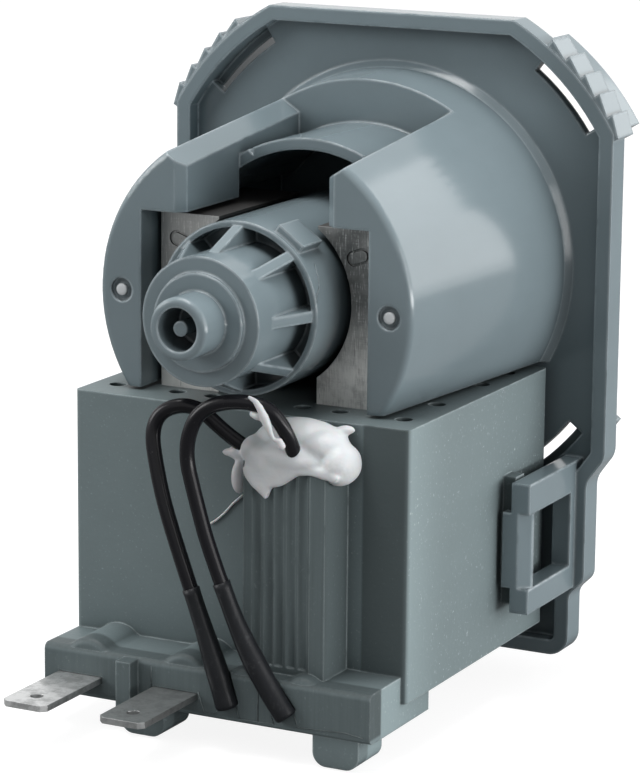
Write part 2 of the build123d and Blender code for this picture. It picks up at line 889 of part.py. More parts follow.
# Thermal cutout in the channel
channel_middle = (channel_left + channel_right) / 2
with BuildPart() as thermal_cutout:
    with BuildSketch(Plane.XY.offset(channel_top - 0.5)):
        with Locations((channel_middle, -block_front - cutout_depth / 2 - cutout_gap)):
            RectangleRounded(cutout_width, cutout_depth, 0.8)
    extrude(amount=-cutout_length)
finish(thermal_cutout, "thermal_cutout")


# Silicone that seals the cutout and grips the leads
with BuildPart() as silicone_seal:
    with BuildSketch(station(block_front)):
        with BuildLine():
            Polyline(*silicone_outline, close=True)
        make_face()
    extrude(amount=silicone_reach)
    crown = edges().group_by(Axis.Y)[0]
    chamfer(crown, silicone_round)
    with BuildSketch(Plane.XY.offset(channel_top)):
        rectangle_between(channel_left, channel_right, -block_front - channel_reach, -block_front)
        rectangle_between(channel_ridge_left, channel_right, -ridge_front, -block_front)
    extrude(amount=-far / 4, mode=Mode.SUBTRACT)
    for lead in leads.values():
        add(lead.part, mode=Mode.SUBTRACT)
finish(silicone_seal, "silicone_seal")


# Shaft with the magnet, its hub and the drive dog
with BuildPart() as shaft:
    with BuildSketch(station(-shaft_nose)):
        Circle(shaft_radius)
    extrude(amount=shaft_nose + shaft_tail)
    chamfer(edges().filter_by(GeomType.CIRCLE), shaft_chamfer)
finish(shaft, "rotor_shaft")

with BuildPart() as magnet:
    with BuildSketch(station(magnet_back)):
        Circle(magnet_radius)
        Circle(hub_radius, mode=Mode.SUBTRACT)
    extrude(amount=magnet_length)
finish(magnet, "rotor_magnet")

hub_back = magnet_back - hub_overhang
hub_front = magnet_back + magnet_length + hub_overhang
tail_bearing_back = tail_bearing_front - bearing_length
neck_front = tail_bearing_back - washer_thickness - washer_gap
neck_back = cap_bearing_back + bearing_length + washer_thickness + washer_gap
with BuildPart() as hub:
    with BuildSketch(station(neck_back)):
        Circle(hub_neck_radius)
    extrude(amount=neck_front - neck_back)
    with BuildSketch(station(hub_back)):
        Circle(hub_radius)
    extrude(amount=hub_front - hub_back)
    with BuildSketch(station(hub_back)):
        Circle(hub_disc_radius)
    extrude(amount=hub_overhang)
    with BuildSketch(station(hub_front - hub_overhang)):
        Circle(hub_disc_radius)
    extrude(amount=hub_overhang)
    with BuildSketch(station(neck_back)):
        Circle(shaft_radius)
    extrude(amount=neck_front - neck_back, mode=Mode.SUBTRACT)
finish(hub, "magnet_hub")


def ring(name, back, length, inner, outer):
    """Plain ring about the rotor axis, from the station back towards the tail."""
    with BuildPart() as piece:
        with BuildSketch(station(back)):
            Circle(outer)
            Circle(inner, mode=Mode.SUBTRACT)
        extrude(amount=length)
    finish(piece, name)


bearing_bore = shaft_radius + running_clearance
nose_inner_radius = nose_radius - nose_wall
ring("tail_bearing", tail_bearing_back, bearing_length, bearing_bore, bearing_radius)
ring("tail_grommet", tail_bearing_back, bearing_length, bearing_radius, nose_inner_radius)
tail_washer_back = tail_bearing_back - washer_thickness
ring("tail_thrust_washer", tail_washer_back, washer_thickness, bearing_bore, washer_radius)
front_washer_back = cap_bearing_back + bearing_length
ring("front_thrust_washer", front_washer_back, washer_thickness, bearing_bore, washer_radius)


# Cap that closes the can, with its bearing, seal and ring
plug_radius = can_inner_radius - cap_plug_clearance
groove_radius = can_inner_radius - cap_ring_section - 2 * cap_ring_clearance
groove_back = cap_ring_station - cap_ring_section / 2 - cap_ring_clearance
groove_front = cap_ring_station + cap_ring_section / 2 + cap_ring_clearance
with BuildPart() as bearing_cap:
    with BuildSketch(Plane.XY):
        with BuildLine():
            Polyline(
                (lip_seal_radius, can_flange_thickness + cap_thickness),
                (cap_radius, can_flange_thickness + cap_thickness),
                (cap_radius, can_flange_thickness),
                (plug_radius, can_flange_thickness),
                (plug_radius, -groove_back),
                (groove_radius, -groove_back),
                (groove_radius, -groove_front),
                (plug_radius, -groove_front),
                (plug_radius, -cap_plug_length),
                (cap_bearing_seat, -cap_plug_length),
                (cap_bearing_seat, -cap_bearing_back),
                (lip_seal_radius, -cap_bearing_back),
                close=True,
            )
        make_face()
    revolve(axis=Axis.Y)
finish(bearing_cap, "bearing_cap")

ring("front_bearing", cap_bearing_back, bearing_length, bearing_bore, bearing_radius)
ring("front_grommet", cap_bearing_back, bearing_length, bearing_radius, cap_bearing_seat)
lip_seal_back = -(can_flange_thickness + cap_thickness)
ring("shaft_lip_seal", lip_seal_back, lip_seal_length, bearing_bore, lip_seal_radius)
with BuildPart() as can_ring:
    with BuildSketch(Plane.XY):
        ring_middle = can_inner_radius - cap_ring_clearance - cap_ring_section / 2
        with Locations((ring_middle, -cap_ring_station)):
            RegularPolygon(cap_ring_section / 2, 8)
    revolve(axis=Axis.Y)
finish(can_ring, "can_seal_ring")


# Impeller: straight blades, because the motor may start either way round
cavity_floor = impeller_front + impeller_floor
cavity_end = impeller_front + impeller_height - cap_disc_thickness
cavity_radius = impeller_hub_radius - impeller_hub_wall
with BuildPart() as impeller:
    with BuildSketch(station(-impeller_front)):
        Circle(impeller_hub_radius)
    extrude(amount=-impeller_height)
    for turn in range(blade_count):
        with BuildSketch(axial_plane(360 / blade_count * turn + 15)):
            with BuildLine():
                Polyline(
                    (impeller_hub_radius - 0.5, impeller_front),
                    (impeller_radius, impeller_front),
                    (impeller_radius, impeller_front + impeller_height - blade_drop),
                    (impeller_hub_radius - 0.5, impeller_front + impeller_height - 0.4),
                    close=True,
                )
            make_face()
        extrude(amount=blade_thickness / 2, both=True)
    with BuildSketch(station(-impeller_front)):
        Circle(impeller_disc_radius)
    extrude(amount=-impeller_floor)
    with BuildSketch(station(-cavity_floor)):
        Circle(cavity_radius)
    extrude(amount=-impeller_height, mode=Mode.SUBTRACT)
    with BuildSketch(station(-impeller_front)):
        Circle(bearing_bore)
    extrude(amount=-impeller_height, mode=Mode.SUBTRACT)
    # Stop inside the hub that the drive dog pushes
    with BuildSketch(station(-cavity_floor)):
        arc_band(dog_inner_radius, cavity_radius + 0.3, 90, stop_half_angle)
    extrude(amount=-(cavity_end - cavity_floor))
finish(impeller, "impeller")

with BuildPart() as drive_dog:
    with BuildSketch(station(-(cavity_floor + dog_clearance))):
        Circle(dog_inner_radius - dog_clearance)
        arc_band(shaft_radius, cavity_radius - dog_clearance, 270, dog_half_angle)
        Circle(shaft_radius, mode=Mode.SUBTRACT)
    extrude(amount=-(cavity_end - cavity_floor - 2 * dog_clearance))
finish(drive_dog, "drive_dog")

with BuildPart() as hub_cap:
    with BuildSketch(station(-cavity_end)):
        Circle(cavity_radius)
    extrude(amount=-cap_disc_thickness)
    with BuildSketch(station(-cavity_end)):
        Circle(bearing_bore)
    extrude(amount=-(shaft_nose + running_clearance - cavity_end), mode=Mode.SUBTRACT)
finish(hub_cap, "impeller_hub_cap")
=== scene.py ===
"""Looks of the drain pump: its finishes, leads, sleeves, silicone and small moulding marks.

Lengths are metres unless a name ends in _mm. The frame is the CAD part's own: the rotor
axis is Y, the impeller is on the +Y side and the tabs point to -Y.
"""

import json
import math

import bmesh
import bpy
from mathutils import Matrix, Vector, noise


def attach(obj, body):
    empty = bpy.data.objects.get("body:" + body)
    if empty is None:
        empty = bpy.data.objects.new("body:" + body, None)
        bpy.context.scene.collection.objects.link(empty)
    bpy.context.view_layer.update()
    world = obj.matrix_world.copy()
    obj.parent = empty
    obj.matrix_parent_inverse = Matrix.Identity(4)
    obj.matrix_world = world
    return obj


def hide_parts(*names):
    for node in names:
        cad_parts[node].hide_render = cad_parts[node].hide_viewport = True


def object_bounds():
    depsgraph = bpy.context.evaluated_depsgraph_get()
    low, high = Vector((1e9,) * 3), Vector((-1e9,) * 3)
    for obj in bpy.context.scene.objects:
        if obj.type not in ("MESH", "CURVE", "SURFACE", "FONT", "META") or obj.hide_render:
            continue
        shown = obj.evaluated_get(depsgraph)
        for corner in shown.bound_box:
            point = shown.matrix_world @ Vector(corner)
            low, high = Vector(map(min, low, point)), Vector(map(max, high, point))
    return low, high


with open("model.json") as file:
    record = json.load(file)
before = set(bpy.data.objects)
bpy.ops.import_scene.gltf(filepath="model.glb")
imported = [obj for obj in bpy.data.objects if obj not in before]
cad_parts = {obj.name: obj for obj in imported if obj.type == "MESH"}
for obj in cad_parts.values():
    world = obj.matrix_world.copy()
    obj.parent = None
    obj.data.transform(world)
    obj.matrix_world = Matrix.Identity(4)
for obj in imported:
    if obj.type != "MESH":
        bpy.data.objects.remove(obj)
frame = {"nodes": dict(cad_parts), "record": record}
cad_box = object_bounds()
nodes = frame["nodes"]
MM = 0.001


def metres(*values_mm):
    """Vector in metres from coordinates in millimetres."""
    return Vector(values_mm) * MM


def link_object(name, data):
    """A new object in the scene."""
    linked = bpy.data.objects.new(name, data)
    bpy.context.scene.collection.objects.link(linked)
    return linked


# Camera, at the photograph's viewing angle
view_azimuth = math.radians(27.115)
view_elevation = math.radians(12.490)
view_roll = math.radians(-0.507)
view_lens = 155.07
view_distance = 0.41145
view_aim = metres(0, -45.2, 0)
view_aim_right = -0.00998
view_aim_down = -0.00968


def add_camera():
    """Camera that sees the pump as the photograph does."""
    forward = Vector(
        (
            -math.sin(view_azimuth) * math.cos(view_elevation),
            math.cos(view_azimuth) * math.cos(view_elevation),
            -math.sin(view_elevation),
        )
    )
    level_right = forward.cross(Vector((0, 0, 1))).normalized()
    level_down = forward.cross(level_right)
    right = math.cos(view_roll) * level_right + math.sin(view_roll) * level_down
    down = math.cos(view_roll) * level_down - math.sin(view_roll) * level_right
    eye = view_aim - right * view_aim_right - down * view_aim_down - forward * view_distance
    camera = link_object("camera", bpy.data.cameras.new("camera"))
    camera.data.lens = view_lens
    camera.data.sensor_width = 36
    camera.data.clip_start = 0.01
    camera.matrix_world = Matrix.Translation(eye) @ Matrix(
        (
            (right.x, -down.x, -forward.x, 0),
            (right.y, -down.y, -forward.y, 0),
            (right.z, -down.z, -forward.z, 0),
            (0, 0, 0, 1),
        )
    )
    bpy.context.scene.camera = camera


# Shader expressions


class Value:
    """A number on a surface, from a node's output, that Python operators can work on."""

    def __init__(self, shading, socket):
        self.shading = shading
        self.socket = socket

    def maths(self, operation, *values):
        """Output of a Math node, such as ADD, on the values."""
        settings = {"operation": operation}
        return self.shading.node("ShaderNodeMath", settings, dict(enumerate(values)))

    def __add__(self, other):
        return self.maths("ADD", self, other)

    __radd__ = __add__

    def __sub__(self, other):
        return self.maths("SUBTRACT", self, other)

    def __rsub__(self, other):
        return self.maths("SUBTRACT", other, self)

    def __mul__(self, other):
        return self.maths("MULTIPLY", self, other)

    __rmul__ = __mul__

    def __truediv__(self, other):
        return self.maths("DIVIDE", self, other)

    def __pow__(self, other):
        return self.maths("POWER", self, other)

    def __abs__(self):
        return self.maths("ABSOLUTE", self)

    def fraction(self):
        return self.maths("FRACT", self)

    def at_least(self, other):
        return self.maths("MAXIMUM", self, other)


class Shading:
    """A tree of shader nodes."""

    def __init__(self, tree):
        self.tree = tree

    def node(self, kind, settings, sockets, output=0):
        """Output of a new node, with its settings made first and then its sockets."""
        made = self.tree.nodes.new(kind)
        for name, value in settings.items():
            setattr(made, name, value)
        for name, value in sockets.items():
            self.feed(made.inputs[name], value)
        return Value(self, made.outputs[output])

    def feed(self, socket, value):
        if isinstance(value, Value):
            self.tree.links.new(value.socket, socket)
        else:
            socket.default_value = value

    def ray(self, kind):
        """1 for one kind of ray, such as Is Camera Ray, and 0 for the others."""
        return self.node("ShaderNodeLightPath", {}, {}, kind)


class Finish(Shading):
    """A procedural material on a principled shader."""

    def __init__(self, name):
        self.material = bpy.data.materials.new(name)
        self.material.use_nodes = True
        super().__init__(self.material.node_tree)
        self.shader = self.tree.nodes["Principled BSDF"]
        self.place = self.node("ShaderNodeTexCoord", {}, {}, "Object")

    def surface(self, **sockets):
        """Sockets of the principled shader, named with underscores for spaces."""
        for name, value in sockets.items():
            self.feed(self.shader.inputs[name.replace("_", " ")], value)

    def noise(self, scale, detail=2.0, roughness=0.5, place=None):
        """Noise from 0 to 1. The scale is in waves per metre."""
        return self.node(
            "ShaderNodeTexNoise",
            {},
            {
                "Vector": place or self.place,
                "Scale": scale,
                "Detail": detail,
                "Roughness": roughness,
            },
        )

    def stretched(self, *factors):
        """The place on the surface, drawn out by a factor along each axis."""
        return self.node(
            "ShaderNodeVectorMath", {"operation": "MULTIPLY"}, {0: self.place, 1: factors}
        )

    def drawn_noise(self, detail, roughness, *scales):
        """Noise from 0 to 1 with its own waves per metre along X, Y and Z."""
        return self.noise(1, detail, roughness, self.stretched(*scales))

    def along(self, axis):
        """Coordinate along X, Y or Z, in metres."""
        return self.node("ShaderNodeSeparateXYZ", {}, {0: self.place}, axis)

    def step(self, value, low, high):
        """0 below low, 1 above high and a smooth ramp between."""
        return self.node(
            "ShaderNodeMapRange",
            {"interpolation_type": "SMOOTHSTEP"},
            {"Value": value, "From Min": low, "From Max": high},
        )

    def mix(self, share, first, second):
        """Colour that goes from first to second as share goes from 0 to 1."""
        return self.node(
            "ShaderNodeMix",
            {"data_type": "RGBA"},
            {"Factor": share, 6: first, 7: second},
            2,
        )

    def facing(self, axis):
        """How far the flat face points along X, Y or Z, from -1 to 1."""
        normal = self.node("ShaderNodeNewGeometry", {}, {}, "Normal")
        return self.node("ShaderNodeSeparateXYZ", {}, {0: normal}, axis)

    def rounded(self, radius):
        """Normal that rounds the edges of the solids."""
        return self.node("ShaderNodeBevel", {"samples": 4}, {"Radius": radius})

    def edges(self, radius):
        """1 on the edges of the solids and 0 on their faces."""
        face = self.node("ShaderNodeNewGeometry", {}, {}, "Normal")
        likeness = self.node(
            "ShaderNodeVectorMath",
            {"operation": "DOT_PRODUCT"},
            {0: self.rounded(radius), 1: face},
            "Value",
        )
        return self.step(1 - likeness, 0.008, 0.17)

    def crevices(self, reach):
        """1 far into corners and gaps and 0 on open faces, to place painted shade."""
        openness = self.node(
            "ShaderNodeAmbientOcclusion", {"samples": 4}, {"Distance": reach}, "AO"
        )
        return self.step(1 - openness, 0.18, 0.80)

    def bump(self, height, depth, normal=None):
        """Normal of a surface whose relief is height times depth, in metres."""
        sockets = {"Height": height, "Distance": depth, "Strength": 1.0}
        if normal:
            sockets["Normal"] = normal
        return self.node("ShaderNodeBump", {}, sockets)


def colour(*levels):
    """Colour with full cover, from three linear levels."""
    return (*levels, 1.0)


def shade_of(body, factor):
    """Colour whose levels are those of body times a factor."""
    return colour(*(factor * level for level in body))


# Reaches of the painted shade in the corners of moulded plastic
wide_painted_shade_reach = 10 * MM
narrow_painted_shade_reach = 2.2 * MM


def moulding_finish(
    name,
    body,
    edge,
    edge_radius,
    roughness,
    grain=2.0e-5,
    speckle=0.0,
    nubs=False,
    zones=None,
    gloss=0.3,
):
    """Moulded plastic: cloudy colour, painted shade in corners, paler edges and fine grain.

    It may have pale specks, bright gate nubs, and zones of painted shade and painted sheen.
    """
    finish = Finish(name)
    painted_shade_tone = shade_of(body, 0.34)
    pale_edge = colour(*edge)
    cloud = finish.noise(55, 4, 0.6)
    streaks = finish.drawn_noise(3, 0.6, 260, 60, 260)
    level = finish.step(0.93 + 0.10 * cloud + 0.05 * streaks, 0.90, 1.10)
    tone = finish.mix(level, shade_of(body, 0.88), shade_of(body, 1.10))
    # Painted shade: the plastic is darkened in corners and gaps, where shade falls.
    tone = finish.mix(0.50 * finish.crevices(wide_painted_shade_reach), tone, painted_shade_tone)
    tone = finish.mix(0.75 * finish.crevices(narrow_painted_shade_reach), tone, painted_shade_tone)
    # Paler edges: partly wear and partly a painted highlight on the rounded edges.
    edge_wear_and_highlight = finish.edges(edge_radius) * finish.step(finish.noise(420, 3), 0.18, 0.55)
    # The zones paint shade, and on the block's right face a painted sheen.
    if zones:
        shade, pale = zones(finish)
        tone = finish.mix(shade, tone, painted_shade_tone)
        if pale:
            tone = finish.mix(pale, tone, shade_of(body, 1.9))
        edge_wear_and_highlight = edge_wear_and_highlight * (1 - 0.8 * shade)
        if speckle:
            speckle = speckle * (1 - shade)
    tone = finish.mix(0.85 * edge_wear_and_highlight, tone, pale_edge)
    if speckle:
        specks = finish.step(finish.noise(2600, 2, 0.5), 0.62, 0.78)
        patches = finish.step(finish.noise(90, 2), 0.35, 0.65)
        # The pale specks are real grain, but their extra weight on faces that point along X is
        # painted light on the block's sides.
        sides = 0.4 + 0.6 * finish.step(abs(finish.facing("X")), 0.5, 0.8)
        tone = finish.mix(speckle * sides * specks * (0.35 + 0.65 * patches), tone, pale_edge)
    if nubs:
        tone = finish.mix(0.9 * gate_nubs(finish), tone, colour(0.60, 0.62, 0.63))
    relief = finish.noise(1500, 3, 0.6) + 0.6 * finish.noise(380, 2)
    finish.surface(
        Base_Color=tone,
        Roughness=roughness - 0.03 + 0.07 * cloud,
        Normal=finish.bump(relief, grain, finish.rounded(edge_radius)),
        Specular_IOR_Level=gloss,
    )
    return finish.material


def block_zones(finish):
    """Where the photo shows the block's faces darker, and where paler, each up to 1.

    This follows the light and shade in the photo, and may not be in the real plastic.
    """
    channel_front = -50.4 * MM
    channel_side = 17.2 * MM
    feet_top = -50.2 * MM
    pale_from = -50.0 * MM
    pale_to = -33.0 * MM
    forward = 1 - finish.step(finish.along("Y"), channel_front - 0.6 * MM, channel_front)
    over_feet = finish.step(finish.along("Z"), feet_top, feet_top + 0.4 * MM)
    upward = finish.step(finish.facing("Z"), 0.2, 0.8)
    sideways = finish.step(finish.facing("X"), 0.5, 0.8)
    towards_front = finish.step(-1 * finish.facing("Y"), 0.2, 0.8)
    drawn = finish.drawn_noise(3, 0.6, 2600, 2600, 70)
    beside = finish.step(finish.along("X"), channel_side, channel_side + 0.4 * MM)
    outer = finish.step(finish.along("X"), channel_side + 2.0 * MM, channel_side + 2.5 * MM)
    front_panel = 0.72 * beside * towards_front * (1 - forward)
    top_face = 0.38 * upward * (1 - forward)
    channel_wall = 0.78 * sideways * (1 - outer) * (1 - forward)
    fore_part = forward * over_feet * (0.38 + 0.34 * drawn + 0.38 * upward + 0.30 * sideways)
    pale = 0.50 * sideways * outer * (1 - forward)
    pale = pale * (1 - finish.step(finish.along("Y"), pale_from, pale_to))
    return fore_part + front_panel + top_face + channel_wall, pale


def cover_zones(finish):
    """Where the photo shows the plate's front darker, and nowhere paler.

    This follows the light and shade in the photo, as block_zones does.
    """
    plate_only = finish.step(finish.along("Y"), -12 * MM, -9 * MM)
    towards_front = finish.step(-1 * finish.facing("Y"), 0.2, 0.8)
    right_part = finish.step(finish.along("X"), 16 * MM, 30 * MM)
    return 0.45 * plate_only * towards_front * right_part, 0.0


def gate_nubs(finish):
    """1 on the broken-off gates in the dimples of the cone's cheeks."""
    gate_offset = 18.9 * MM
    gate_radius = 0.75 * MM
    cheek_front = -41.5 * MM
    across = abs(finish.along("X")) - gate_offset
    height = finish.along("Z")
    distance = (across * across + height * height) ** 0.5
    before = 1 - finish.step(finish.along("Y"), cheek_front, cheek_front + 0.2 * MM)
    return before * (1 - finish.step(distance, 0.92 * gate_radius, 1.08 * gate_radius))


def lamination_finish():
    """Punched electrical sheet: brushed and scuffed faces, dark stacked edges on the sides.

    The left limb is paler than the right one, and both are paler low down; this paleness is a
    painted sheen.
    """
    finish = Finish("lamination_steel")
    sheet_pitch = 0.5 * MM
    side = 1 - finish.step(abs(finish.facing("Y")), 0.4, 0.6)
    phase = (finish.along("Y") / sheet_pitch).fraction()
    joint = side * finish.step(abs(phase - 0.5), 0.30, 0.44)
    stain = finish.noise(210, 5, 0.65)
    upright = finish.drawn_noise(4, 0.7, 5200, 900, 420)
    level = finish.drawn_noise(4, 0.7, 420, 900, 5200)
    brushed = 0.75 * upright + 0.25 * level
    # Painted sheen: paler steel low down on both limbs and on the whole left limb.
    lower = 1 - finish.step(finish.along("Z") + 0.004 * stain, -8 * MM, 4 * MM)
    dull, bright = colour(0.14, 0.145, 0.145), colour(0.27, 0.275, 0.27)
    face = finish.mix(finish.step(stain, 0.36, 0.66), dull, bright)
    left_limb_painted_sheen = 1 - finish.step(finish.along("X"), -2 * MM, 2 * MM)
    face = finish.mix(0.5 * left_limb_painted_sheen, face, colour(0.62, 0.63, 0.62))
    patches = finish.step(0.6 * stain + 0.4 * brushed, 0.40, 0.56)
    face = finish.mix(lower * (0.50 + 0.50 * patches), face, colour(0.78, 0.79, 0.77))
    face = finish.mix(0.6 * finish.step(brushed, 0.52, 0.64), face, colour(0.80, 0.81, 0.79))
    scratches = finish.step(finish.drawn_noise(1, 0.5, 2600, 300, 420), 0.70, 0.74)
    face = finish.mix(0.35 * scratches, face, colour(0.06, 0.06, 0.06))
    tone = finish.mix(side, face, colour(0.035, 0.034, 0.033))
    tone = finish.mix(0.9 * joint, tone, colour(0.012, 0.012, 0.012))
    finish.surface(
        Base_Color=tone,
        Metallic=0.65 - 0.30 * side,
        Roughness=0.30 + 0.22 * stain + 0.18 * side,
        Normal=finish.bump(
            brushed - 2.5 * joint - 0.8 * scratches, 1.4e-5, finish.rounded(0.15 * MM)
        ),
    )
    return finish.material


def tinned_finish():
    """Tinned brass: bright, with drawn streaks, dull patches and dark pits.

    The right tab is darker than the left one; this darkness is painted shade.
    """
    finish = Finish("tinned_brass")
    streaks = finish.drawn_noise(4, 0.7, 2600, 160, 2600)
    dull = finish.noise(420, 5, 0.7)
    pits = finish.step(finish.noise(1500, 3, 0.6), 0.66, 0.74)
    patches = finish.step(dull, 0.40, 0.64)
    tone = finish.mix(patches, colour(0.70, 0.71, 0.71), colour(0.36, 0.37, 0.37))
    tone = finish.mix(0.35 * streaks, tone, colour(0.30, 0.30, 0.295))
    # Painted shade: the right tab is mixed towards dark tin.
    right_tab_painted_shade = finish.step(finish.along("X"), -12 * MM, -10 * MM)
    tone = finish.mix(0.55 * right_tab_painted_shade, tone, colour(0.16, 0.17, 0.17))
    tone = finish.mix(0.7 * pits, tone, colour(0.07, 0.07, 0.068))
    finish.surface(
        Base_Color=tone,
        Metallic=0.90,
        Roughness=0.22 + 0.28 * dull,
        Normal=finish.bump(streaks + 0.7 * dull, 1.2e-5, finish.rounded(0.12 * MM)),
    )
    return finish.material


def insulation_finish():
    """Black lead insulation: soft gloss, faintly drawn along its length, with pale scuffs."""
    finish = Finish("lead_insulation")
    drawn = finish.drawn_noise(3, 0.6, 1500, 1500, 260)
    scuffs = finish.step(finish.noise(950, 4, 0.7), 0.66, 0.74)
    tone = finish.mix(0.30 * scuffs, colour(0.008, 0.008, 0.010), colour(0.16, 0.16, 0.165))
    finish.surface(
        Base_Color=tone,
        Roughness=0.17 + 0.10 * drawn + 0.20 * scuffs,
        Specular_IOR_Level=0.16,
        Normal=finish.bump(drawn, 1.4e-5),
    )
    return finish.material


def shrink_finish():
    """Black heat-shrink tube: satin, slightly wrinkled and dusty."""
    finish = Finish("shrink_tube")
    wrinkles = finish.drawn_noise(3, 0.6, 1100, 1100, 420)
    dust = finish.noise(700, 5, 0.7)
    dusty = finish.step(dust, 0.55, 0.80)
    tone = finish.mix(dusty, colour(0.010, 0.011, 0.013), colour(0.040, 0.042, 0.045))
    finish.surface(
        Base_Color=tone,
        Roughness=0.32 + 0.18 * dust,
        Specular_IOR_Level=0.16,
        Normal=finish.bump(wrinkles, 6.0e-5),
    )
    return finish.material


def silicone_finish():
    """Cured white silicone: milky, smooth skin with soft ripples."""
    finish = Finish("silicone")
    ripples = finish.noise(430, 3, 0.55)
    cloud = finish.noise(160, 3)
    tone = finish.mix(cloud, colour(0.50, 0.52, 0.535), colour(0.63, 0.645, 0.655))
    finish.surface(
        Base_Color=tone,
        Roughness=0.34 + 0.18 * cloud,
        Specular_IOR_Level=0.3,
        Subsurface_Weight=0.15,
        Subsurface_Scale=1.5 * MM,
        Normal=finish.bump(ripples, 1.5e-4),
    )
    return finish.material


def rubber_finish():
    """Black moulded rubber: matte, faintly bloomed."""
    finish = Finish("seal_rubber")
    bloom = finish.noise(300, 5, 0.7)
    bloomed = finish.step(bloom, 0.45, 0.75)
    tone = finish.mix(bloomed, colour(0.016, 0.016, 0.017), colour(0.05, 0.05, 0.052))
    finish.surface(
        Base_Color=tone,
        Roughness=0.55 + 0.2 * bloom,
        Normal=finish.bump(finish.noise(1800, 3), 2.5e-5, finish.rounded(0.15 * MM)),
    )
    return finish.material


def ground_finish(name, dark, light, metallic, roughness, scale):
    """Ground or sintered solid: mottled between two tones, with turning marks along the axis."""
    finish = Finish(name)
    mottle = finish.noise(scale, 5, 0.65)
    rings = finish.drawn_noise(3, 0.6, 60, 5200, 60)
    tone = finish.mix(0.7 * mottle + 0.3 * rings, colour(*dark), colour(*light))
    finish.surface(
        Base_Color=tone,
        Metallic=metallic,
        Roughness=roughness - 0.05 + 0.15 * mottle,
        Normal=finish.bump(0.6 * mottle + rings, 1.0e-5, finish.rounded(0.12 * MM)),
    )
    return finish.material


def copper_finish():
    """Enamelled winding wire, laid in level turns."""
    finish = Finish("winding_copper")
    wire_pitch = 0.24 * MM
    phase = (finish.along("Z") / wire_pitch).fraction()
    crown = 1 - (2 * phase - 1) ** 2
    tint = finish.noise(400, 3)
    tone = finish.mix(tint, colour(0.36, 0.12, 0.035), colour(0.56, 0.22, 0.07))
    # Painted shade: the copper goes nearly black in the grooves between the turns.
    tone = finish.mix(finish.step(crown, 0.0, 0.35), colour(0.05, 0.018, 0.008), tone)
    finish.surface(
        Base_Color=tone,
        Metallic=0.75,
        Roughness=0.30 + 0.15 * tint,
        Normal=finish.bump(crown, 0.08 * MM),
    )
    return finish.material


def finish_nodes():
    """A material for every slot of the record, put on its CAD nodes."""
    grey_edge = (0.38, 0.43, 0.46)
    finishes = {
        "cover_plastic": moulding_finish(
            "cover_plastic",
            body=(0.165, 0.208, 0.226),
            edge=(0.44, 0.50, 0.53),
            edge_radius=0.55 * MM,
            roughness=0.13,
            grain=0.6e-5,
            nubs=True,
            zones=cover_zones,
            gloss=0.42,
        ),
        "block_plastic": moulding_finish(
            "block_plastic",
            body=(0.158, 0.198, 0.205),
            edge=(0.42, 0.48, 0.49),
            edge_radius=0.38 * MM,
            roughness=0.46,
            grain=2.4e-5,
            speckle=0.8,
            zones=block_zones,
            gloss=0.18,
        ),
        "cap_plastic": moulding_finish(
            "cap_plastic", (0.26, 0.28, 0.29), grey_edge, 0.25 * MM, 0.42
        ),
        # The bobbins' near-black colour is painted shade: it makes the vents in front of them
        # show as dark holes.
        "bobbin_plastic": moulding_finish(
            "bobbin_plastic", (0.020, 0.021, 0.022), (0.08, 0.08, 0.085), 0.2 * MM, 0.5
        ),
        "hub_plastic": moulding_finish(
            "hub_plastic", (0.44, 0.41, 0.34), (0.6, 0.58, 0.52), 0.2 * MM, 0.45
        ),
        "washer_plastic": moulding_finish(
            "washer_plastic", (0.56, 0.52, 0.43), (0.7, 0.68, 0.6), 0.1 * MM, 0.45
        ),
        "impeller_plastic": moulding_finish(
            "impeller_plastic", (0.030, 0.033, 0.036), (0.13, 0.14, 0.15), 0.3 * MM, 0.38
        ),
        "cutout_body": moulding_finish(
            "cutout_body", (0.60, 0.57, 0.48), (0.75, 0.73, 0.66), 0.2 * MM, 0.5
        ),
        "lamination_steel": lamination_finish(),
        "tinned_brass": tinned_finish(),
        "lead_insulation": insulation_finish(),
        "shrink_tube": shrink_finish(),
        "silicone": silicone_finish(),
        "seal_rubber": rubber_finish(),
        "winding_copper": copper_finish(),
        "carbon": ground_finish(
            "carbon", (0.012, 0.012, 0.013), (0.05, 0.05, 0.052), 0.1, 0.45, 900
        ),
        "ferrite": ground_finish(
            "ferrite", (0.016, 0.016, 0.018), (0.07, 0.068, 0.066), 0.35, 0.5, 600
        ),
        "shaft_steel": ground_finish(
            "shaft_steel", (0.45, 0.45, 0.45), (0.62, 0.62, 0.61), 1.0, 0.22, 300
        ),
    }
    for entry in frame["record"]["subparts"]:
        mesh = nodes[entry["node"]].data
        mesh.materials.clear()
        mesh.materials.append(finishes[entry["material_slot"]])
    return finishes


def link_piece(name, data, finishes, slot):
    """A new piece that rides on the motor and takes its finish from a slot."""
    piece = link_object(name, data)
    data.materials.append(finishes[slot])
    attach(piece, "motor")
    return piece


# Leads and sleeves. The routes repeat the CAD part's
lead_diameter = 1.9 * MM
lead_routes_mm = {
    "left": [
        (3.0, -48.9, -16.5),
        (1.1, -49.6, -15.3),
        (-3.3, -51.3, -10.8),
        (-8.7, -52.4, -13.2),
        (-6.7, -53.6, -21.0),
        (-4.3, -54.2, -27.4),
        (1.6, -54.1, -43.0),
        (3.2, -54.0, -48.3),
    ],
    "right": [
        (10.9, -50.6, -16.9),
        (10.7, -52.3, -13.0),
        (7.9, -54.0, -9.1),
        (0.0, -54.6, -10.2),
        (-2.4, -55.0, -15.8),
        (-0.6, -55.0, -22.4),
        (1.2, -55.0, -28.3),
        (6.6, -54.3, -42.0),
        (11.4, -54.0, -48.3),
    ],
}
sleeve_tops = {"left": -33.5 * MM, "right": -32.1 * MM}
sleeve_top_radius = 1.08 * MM
sleeve_foot_radius = 1.42 * MM
sleeve_snug = 2.5 * MM
sleeve_swell = 9 * MM
sleeve_lip = 0.05 * MM
sleeve_lip_fall = 0.35 * MM
sleeve_ripple = 0.03 * MM
